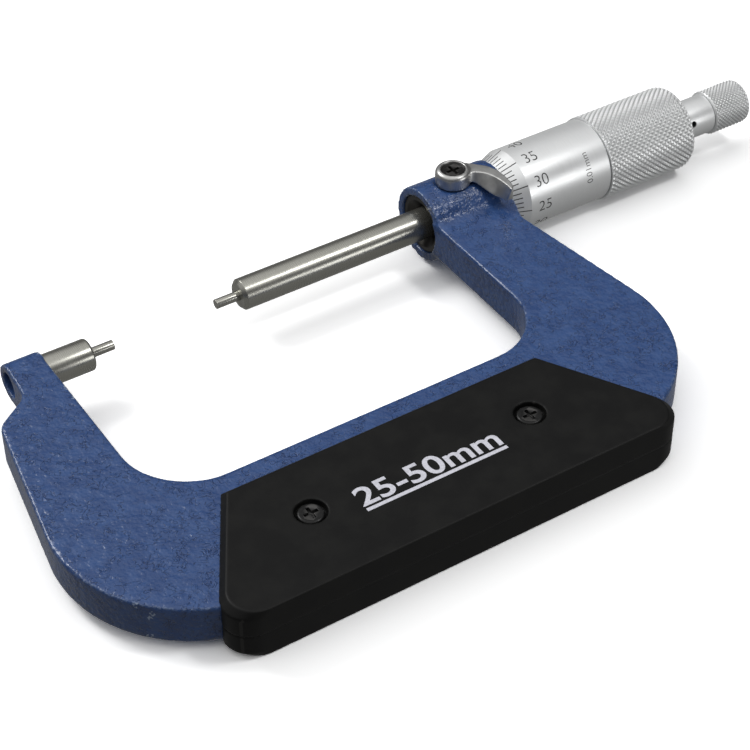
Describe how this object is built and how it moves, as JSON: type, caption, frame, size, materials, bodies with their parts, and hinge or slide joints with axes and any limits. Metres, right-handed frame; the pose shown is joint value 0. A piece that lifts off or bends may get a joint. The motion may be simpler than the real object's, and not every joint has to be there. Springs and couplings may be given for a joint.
{
  "type": "outside micrometer",
  "caption": "Outside micrometer with pin-shaped measuring tips: a U frame with insulating covers, an anvil, a screw-fed spindle with graduated thimble and ratchet, and a clamp lever.",
  "frame": {"origin": "centre of the anvil pin's flat measuring face, on the measuring axis", "axes": "+X runs along the measuring axis from the anvil towards the ratchet, +Z is square to the flat of the U frame, and the U hangs towards -Y"},
  "size_m": [0.1893, 0.0886, 0.0201],
  "materials": {
    "blue_hammertone": "hammertone enamel",
    "black_moulding": "fine matte moulding",
    "black_screw": "black oxide",
    "ground_steel": "ground",
    "dark_steel": "black oxide",
    "satin_chrome": "satin",
    "lever_chrome": "satin",
    "brass": "plain",
    "spring_steel": "drawn"
  },
  "bodies": {
    "frame_body": {"frame": "blue_hammertone", "cover_top": "black_moulding", "cover_bottom": "black_moulding", "cover_screws_top": "black_screw", "cover_screws_bottom": "black_screw", "anvil": "ground_steel", "anvil_pin": "ground_steel", "guide_sleeve": "dark_steel", "scale_sleeve": "satin_chrome", "adjusting_nut": "ground_steel", "lock_shoe": "brass", "lock_washer": "dark_steel"},
    "feed": {"spindle_pin": "ground_steel"},
    "thimble_body": {"spindle": "ground_steel", "thimble": "satin_chrome", "ratchet_housing": "satin_chrome", "ratchet_spring": "spring_steel", "ratchet_wheel": "ground_steel", "ratchet_screw": "dark_steel"},
    "ratchet_body": {"ratchet_knob": "satin_chrome"},
    "lever_body": {"lock_lever": "lever_chrome", "lock_screw": "black_screw", "lock_stud": "dark_steel"}
  },
  "joints": [
    {"name": "spindle_feed", "type": "slide", "parent": "frame_body", "child": "feed", "axis": [1, 0, 0], "range_m": [0, 0.0276]},
    {"name": "thimble_turn", "type": "hinge", "parent": "feed", "child": "thimble_body", "pos_m": [0.0886, 0, 0], "axis": [1, 0, 0], "range_deg": [0, 19900]},
    {"name": "ratchet_slip", "type": "hinge", "parent": "thimble_body", "child": "ratchet_body", "pos_m": [0.145, 0, 0], "axis": [1, 0, 0], "continuous": true},
    {"name": "lock_turn", "type": "hinge", "parent": "frame_body", "child": "lever_body", "pos_m": [0.0783, 0, 0], "axis": [0, 0, 1], "range_deg": [-55, 0]}
  ],
  "couplings": [
    {"joint": "thimble_turn", "follows": "spindle_feed", "rad_per_m": 12566}
  ]
}
